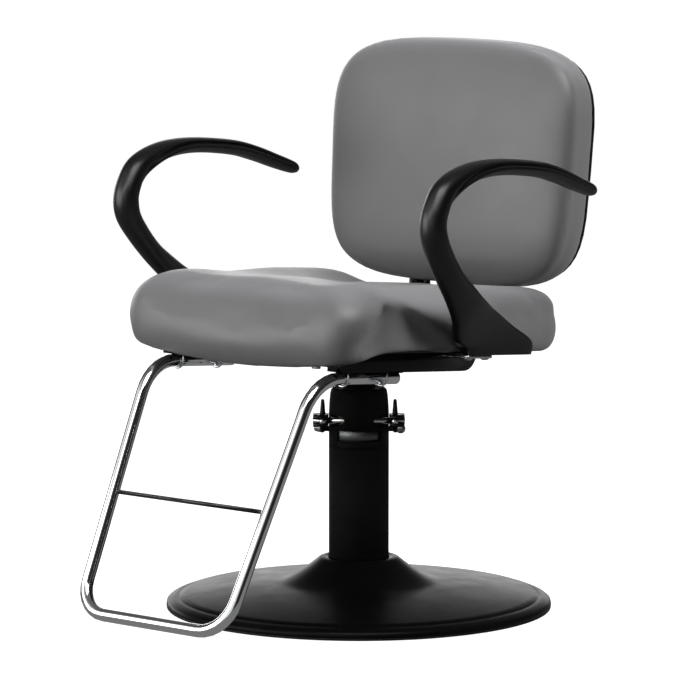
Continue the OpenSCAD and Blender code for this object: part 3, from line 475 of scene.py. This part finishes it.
def inflate(obj, pin, cap):
    """Blows the cover up with a cloth simulation, with each point held to a largest move."""
    start = coords(obj)
    group = obj.vertex_groups.new(name="pin")
    for w in (0.25, 0.5, 0.75, 1.0):
        ids = np.nonzero((pin > w - 0.25) & (pin <= w))[0].tolist()
        if ids:
            group.add(ids, w, "REPLACE")
    mod = obj.modifiers.new("cloth", "CLOTH")
    s = mod.settings
    s.quality = 5
    s.mass = 0.4
    s.tension_stiffness = s.compression_stiffness = CLOTH_STIFFNESS
    s.shear_stiffness = CLOTH_STIFFNESS * 0.5
    s.bending_stiffness = 2.0
    s.use_pressure = True
    s.uniform_pressure_force = CLOTH_PRESSURE
    s.vertex_group_mass = "pin"
    s.pin_stiffness = 1.0
    s.effector_weights.gravity = 0
    mod.collision_settings.use_collision = False
    mod.collision_settings.use_self_collision = False
    mod.point_cache.frame_start, mod.point_cache.frame_end = 1, CLOTH_FRAMES
    scene = bpy.context.scene
    for f in range(1, CLOTH_FRAMES + 1):
        scene.frame_set(f)
    bake(obj)
    move = coords(obj) - start
    far = np.linalg.norm(move, axis=1, keepdims=True)
    soft = cap * np.tanh(far / cap)
    set_coords(obj, start + move * np.where(far > 1e-9, soft / np.maximum(far, 1e-9), 0))
    scene.frame_set(1)


def fit_to_node(obj, node):
    """Stretches a cushion, along the seat's own axes, to the space of its CAD solid."""
    p = row_to_seat(coords(obj))
    room = row_to_seat(coords(nodes[node]))
    lo, hi = p.min(0), p.max(0)
    want_lo, want_hi = room.min(0), room.max(0)
    p = (p - (lo + hi) / 2) * (want_hi - want_lo) / (hi - lo) + (want_lo + want_hi) / 2
    set_coords(obj, seat_to_row(p))


def finish_cushion(obj, replaced):
    """Fits, refines and dresses a cushion in place of its CAD solid."""
    fit_to_node(obj, replaced)
    sub = obj.modifiers.new("fine", "SUBSURF")
    sub.levels = sub.render_levels = 1
    bake(obj)
    obj.data.shade_smooth()
    dress(obj, "vinyl", "seat")
    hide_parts(replaced)


SHRINK = 0.0045                  # what the simulation's pressure makes up
VOXEL = 0.005
SEAM_DEPTH = 0.0375              # of the seam round the back's edge, behind its front
SEAT_MOVE, BACK_MOVE = 0.0075, 0.0065
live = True
shrink = SHRINK if live else 0.0

seat = skin("seat_cushion_cover", seat_cushion_rings(shrink))
remesh(seat, VOXEL)
relax(seat, 3)
if live:
    x, y, z = row_to_seat(coords(seat)).T
    fold = side_pinch(x, y, z) / FOLD_DEPTH
    lower_edge = 1 - smooth((z + front_lip(x, y) - 0.003) / 0.008)
    inflate(seat, np.clip(np.maximum(lower_edge, 0.9 * smooth((fold - 0.4) / 0.5)), 0, 1), SEAT_MOVE)
    relax(seat, 5)
    relax(seat, 40, bell(y, -0.165, 0.13) * smooth((np.abs(x) - 0.15) / 0.05))
finish_cushion(seat, "seat_cushion")

back = skin("back_cushion_cover", back_cushion_rings(shrink))
remesh(back, VOXEL)
relax(back, 2)
if live:
    depth = row_to_seat(coords(back))[:, 1] - BACK_FRONT
    seam = bell(depth, SEAM_DEPTH + SHRINK * 0.5, 0.0022)
    rear_edge = smooth((depth - 0.066) / 0.006)
    inflate(back, np.clip(np.maximum(seam * 0.8, rear_edge), 0, 1), BACK_MOVE)
finish_cushion(back, "back_cushion")

# ---------------------------------------------------------------- arms
ARM_ROWS = [  # y, z, share of the splay, half depth, half width, tilt, squareness, lean; in millimetres
    [22, 0, 0, 75, 13, 0, 0.35, 0], [14, 17, 0.03, 80, 13, 3, 0.38, 0.15],
    [-20, 31, 0.13, 58, 13.5, 15, 0.5, 0.3], [-57, 47, 0.32, 42, 14, 33, 0.7, 0.42],
    [-94, 71, 0.6, 30, 15, 46, 0.85, 0.45], [-126, 95, 0.76, 24.5, 16.5, 50, 0.95, 0.4],
    [-158, 120, 0.87, 20.5, 18.5, 48, 1, 0.3], [-187, 149, 0.95, 20, 19.5, 40, 1, 0.2],
    [-207, 175, 1, 20.5, 20.5, 22, 1, 0.1], [-214, 201, 1, 20.5, 20.5, 0, 1, 0],
    [-209, 225, 1, 20, 20.5, -18, 1, 0], [-193, 252, 1, 18.5, 20.5, -40, 1, 0],
    [-160, 272, 1, 15.5, 21, -64, 0.95, 0], [-114, 285.4, 1, 13.5, 21, -80, 0.9, 0],
    [-54, 291, 1, 12.5, 20.5, -89, 0.88, 0], [26, 289, 0.99, 12.5, 20, -96, 0.88, 0],
    [77, 281, 0.96, 12.5, 18.5, -101, 0.9, 0], [126, 269.5, 0.92, 12, 16, -104, 0.95, 0],
    [165, 260.5, 0.88, 10.5, 13, -106, 1, 0], [176, 257.8, 0.87, 7.5, 9, -106, 1, 0]]
ARM_FOOT_X, ARM_SPLAY = 263.0, 55.0
GROOVE_DEPTH, GROOVE_WIDTH = 0.27, 0.19      # share of the section's radius, and radians
ROLL_RISE, ROLL_WIDTH = 0.10, 0.26
TIP_LENGTH = 3.0
MM = 0.001


def arm_ring(row, t, n=96):
    """One section of the arm, t rows up from its foot."""
    y, z, share, half, width, tilt, square, lean = row
    x = ARM_FOOT_X + share * ARM_SPLAY
    r = math.radians(tilt)
    u = np.array([lean * math.sin(r), math.cos(r), math.sin(r)])
    u /= np.linalg.norm(u)
    a = np.linspace(0, 2 * np.pi, n, endpoint=False)
    # a groove on each side parts the crown from a rolled lower edge, and climbs along the arm rest
    ridge = smooth((t - 8.6) / 1.6) * (1 - smooth((t - 16.6) / 1.8))
    groove = math.radians(34 + 78 * smooth((t - 9.6) / 4.4))
    squeeze = np.ones(n)
    for at in (groove, 2 * math.pi - groove):
        squeeze -= ridge * GROOVE_DEPTH * bell(a, at, GROOVE_WIDTH)
    for at in (groove - 0.5, 2 * math.pi - groove + 0.5):
        squeeze += ridge * ROLL_RISE * bell(a, at, ROLL_WIDTH)
    du = half * power(np.cos(a), square) * squeeze
    dx = -width * power(np.sin(a), square) * squeeze
    return np.stack([x + dx, np.full(n, y), np.full(n, z)], 1) + u[None, :] * du[:, None]


def build_arm(name, side, node, steps=8):
    """Sweeps one arm from its foot to its round tip; side is 1 for +X and -1 for -X."""
    places = [k / steps for k in range((len(ARM_ROWS) - 1) * steps + 1)]
    rings = [arm_ring(spline_rows(ARM_ROWS, t), t) for t in places]
    tip, prev = rings[-1], rings[-3]
    centre = tip.mean(0)
    away = (centre - prev.mean(0)) / np.linalg.norm(centre - prev.mean(0))
    for f in (0.3, 0.6, 0.85, 0.97):
        rings.append(centre + away * TIP_LENGTH * f + (tip - centre) * math.sqrt(1 - f * f))
    rings = [seat_to_row(r * [side * MM, MM, MM]) for r in rings]
    obj = skin(name, rings)
    dress(obj, "urethane", "seat")
    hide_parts(node)


build_arm("left_arm_moulding", 1, "left_arm")
build_arm("right_arm_moulding", -1, "right_arm")

# ---------------------------------------------------------------- stage, lights and camera
CAMERA_TURN = math.radians(41.03)
YAW, PITCH = math.radians(0.2568), math.radians(7.030)
DISTANCE, HEIGHT, FOCAL = 7.1779, 1.3109, 243.65
CLIP_END = 60

FLOOR_REACH, FLOOR_SINK = 9, 0.0002
GLOW_NEAR, GLOW_FAR = (0.9, 0.93), (2.0, 1.0)        # distance from the column, level
FLOOR_SHADOWED, FLOOR_MATT, FLOOR_MIRRORED = 0.34, 0.07, 0.20

WALLS = [  # level of the studio's walls by the angle, in degrees, to the right of the camera's own side
    (-180, 0.20), (-140, 0.03), (-112, 0.03), (-98, 0.90), (-14, 0.90), (4, 0.25), (12, 0.02),
    (125, 0.02), (150, 0.12), (180, 0.20)]
CEILING_LEVEL, CEILING_RISE = 0.14, (0.55, 0.90)     # level, and the upward part of a ray's direction
REAR_WALL_TURN, REAR_WALL_LEVEL = math.radians(162), 2.4
REAR_WALL_SPREAD, REAR_WALL_TOP = (0.76, 0.93), (0.34, 0.12)
FILL_LEVEL = 0.04
LIGHT_AIM = Vector((0, 0, 0.5))


def stage_material():
    """Floor that is white to the camera but takes a shadow, and throws little light back at the chair."""
    mat = bpy.data.materials.new("white_floor")
    mat.use_nodes = True
    tree = mat.node_tree
    tree.nodes.clear()
    link = tree.links.new
    spot = add_node(tree, "ShaderNodeTexCoord")
    reach = add_node(tree, "ShaderNodeVectorMath", operation="LENGTH")
    link(spot.outputs["Object"], reach.inputs[0])
    fade = add_node(tree, "ShaderNodeMapRange", {"From Min": GLOW_NEAR[0], "To Min": GLOW_NEAR[1],
                                                 "From Max": GLOW_FAR[0], "To Max": GLOW_FAR[1]})
    link(reach.outputs["Value"], fade.inputs["Value"])
    glow = add_node(tree, "ShaderNodeEmission", {"Color": grey(1)})
    link(fade.outputs["Result"], glow.inputs["Strength"])
    shadowed = add_node(tree, "ShaderNodeBsdfDiffuse", {"Color": grey(FLOOR_SHADOWED)})
    seen = add_node(tree, "ShaderNodeAddShader")
    link(glow.outputs[0], seen.inputs[0])
    link(shadowed.outputs[0], seen.inputs[1])
    matt = add_node(tree, "ShaderNodeBsdfDiffuse", {"Color": grey(FLOOR_MATT)})
    mirrored = add_node(tree, "ShaderNodeEmission", {"Color": grey(FLOOR_MIRRORED)})
    path = add_node(tree, "ShaderNodeLightPath")
    glossy = add_node(tree, "ShaderNodeMixShader")
    link(path.outputs["Is Glossy Ray"], glossy.inputs[0])
    link(matt.outputs[0], glossy.inputs[1])
    link(mirrored.outputs[0], glossy.inputs[2])
    pick = add_node(tree, "ShaderNodeMixShader")
    link(path.outputs["Is Camera Ray"], pick.inputs[0])
    link(glossy.outputs[0], pick.inputs[1])
    link(seen.outputs[0], pick.inputs[2])
    out = add_node(tree, "ShaderNodeOutputMaterial")
    link(pick.outputs[0], out.inputs["Surface"])
    return mat


r = FLOOR_REACH
floor = new_mesh("floor", [(-r, -r, 0), (r, -r, 0), (r, r, 0), (-r, r, 0)], [(0, 1, 2, 3)])
floor.location.z = -FLOOR_SINK
floor.data.materials.append(stage_material())


def build_world():
    """White to the camera, a weak even fill for matt surfaces, and a studio of walls for glossy ones."""
    world = bpy.data.worlds.new("studio")
    bpy.context.scene.world = world
    world.use_nodes = True
    tree = world.node_tree
    tree.nodes.clear()
    link = tree.links.new
    ray = add_node(tree, "ShaderNodeTexCoord").outputs["Generated"]
    split = add_node(tree, "ShaderNodeSeparateXYZ")
    link(ray, split.inputs[0])

    def along(angle):
        """Part of the ray's direction that goes towards an angle about the column."""
        toward = (math.sin(angle), -math.cos(angle), 0)
        dot = add_node(tree, "ShaderNodeVectorMath", {1: toward}, operation="DOT_PRODUCT")
        link(ray, dot.inputs[0])
        return dot.outputs["Value"]

    def spread(source, span):
        """0 to 1 as the source goes through a span."""
        reach = add_node(tree, "ShaderNodeMapRange", {1: span[0], 2: span[1]})
        link(source, reach.inputs[0])
        return reach.outputs[0]

    def blend(amount, below, level):
        """Lays a grey level over a colour."""
        mix = add_node(tree, "ShaderNodeMix", data_type="RGBA")
        first, second = [s for s in mix.inputs if s.type == "RGBA"]
        link(amount, mix.inputs[0])
        link(below, first)
        second.default_value = grey(level)
        return [s for s in mix.outputs if s.type == "RGBA"][0]

    def background(level):
        return add_node(tree, "ShaderNodeBackground", {"Color": grey(level)})

    angle = add_node(tree, "ShaderNodeMath", operation="ARCTAN2")
    link(along(CAMERA_TURN + math.pi / 2), angle.inputs[0])
    link(along(CAMERA_TURN), angle.inputs[1])
    ring = add_node(tree, "ShaderNodeValToRGB")
    link(spread(angle.outputs[0], (-math.pi, math.pi)), ring.inputs[0])
    ramp = ring.color_ramp
    while len(ramp.elements) < len(WALLS):
        ramp.elements.new(0.5)
    for element, (at, level) in zip(ramp.elements, WALLS):
        element.position = 0.5 + at / 360
        element.color = grey(level)
    shade = blend(spread(split.outputs["Z"], CEILING_RISE), ring.outputs["Color"], CEILING_LEVEL)
    backdrop = add_node(tree, "ShaderNodeMath", operation="MULTIPLY")
    link(spread(along(CAMERA_TURN - REAR_WALL_TURN), REAR_WALL_SPREAD), backdrop.inputs[0])
    link(spread(split.outputs["Z"], REAR_WALL_TOP), backdrop.inputs[1])
    shade = blend(backdrop.outputs[0], shade, REAR_WALL_LEVEL)
    studio, fill, white = background(1), background(FILL_LEVEL), background(1)
    link(shade, studio.inputs["Color"])

    path = add_node(tree, "ShaderNodeLightPath")
    glossy = add_node(tree, "ShaderNodeMixShader")
    link(path.outputs["Is Glossy Ray"], glossy.inputs[0])
    link(fill.outputs[0], glossy.inputs[1])
    link(studio.outputs[0], glossy.inputs[2])
    plainly = add_node(tree, "ShaderNodeMath", operation="MAXIMUM")
    link(path.outputs["Is Camera Ray"], plainly.inputs[0])
    link(path.outputs["Is Transmission Ray"], plainly.inputs[1])
    final = add_node(tree, "ShaderNodeMixShader")
    link(plainly.outputs[0], final.inputs[0])
    link(glossy.outputs[0], final.inputs[1])
    link(white.outputs[0], final.inputs[2])
    out = add_node(tree, "ShaderNodeOutputWorld")
    link(final.outputs[0], out.inputs["Surface"])


build_world()


def softbox(name, azimuth, elevation, distance, width, height, power_w):
    """azimuth is counted from the camera's side, positive to the right of the picture."""
    light = bpy.data.lights.new(name, "AREA")
    light.shape = "RECTANGLE"
    light.size, light.size_y = width, height
    light.energy = power_w
    obj = bpy.data.objects.new(name, light)
    bpy.context.scene.collection.objects.link(obj)
    a, e = CAMERA_TURN + math.radians(azimuth), math.radians(elevation)
    away = Vector((math.sin(a) * math.cos(e), -math.cos(a) * math.cos(e), math.sin(e)))
    obj.location = LIGHT_AIM + distance * away
    obj.rotation_euler = (-away).to_track_quat("-Z", "Y").to_euler()
    return obj


softbox("overhead", 165, 72, 2.7, 1.5, 1.5, 118.0).visible_glossy = False
softbox("top", -10, 62, 2.6, 0.9, 0.6, 7.0)
softbox("sheen", 5, 52, 2.6, 1.9, 1.3, 40.0).visible_diffuse = False
softbox("front", -34, 28, 2.5, 0.8, 0.8, 7.0)
softbox("left_side", -68, 8, 2.6, 2.2, 1.4, 31.0)
softbox("right_side", 82, 10, 2.6, 0.6, 1.4, 47.0).visible_glossy = False

heading = CAMERA_TURN + YAW
ahead = Vector((-math.sin(heading) * math.cos(PITCH), math.cos(heading) * math.cos(PITCH), -math.sin(PITCH)))
right = Vector((math.cos(heading), math.sin(heading), 0))
up = right.cross(ahead)
place = Vector((DISTANCE * math.sin(CAMERA_TURN), -DISTANCE * math.cos(CAMERA_TURN), HEIGHT))
lens = bpy.data.cameras.new("camera")
lens.lens, lens.sensor_width, lens.clip_end = FOCAL, 36.0, CLIP_END
camera = bpy.data.objects.new("camera", lens)
bpy.context.scene.collection.objects.link(camera)
camera.matrix_world = Matrix([(*column, 0) for column in (right, up, -ahead)] + [(*place, 1)]).transposed()
bpy.context.scene.camera = camera
bpy.context.scene.view_settings.view_transform = "Standard"
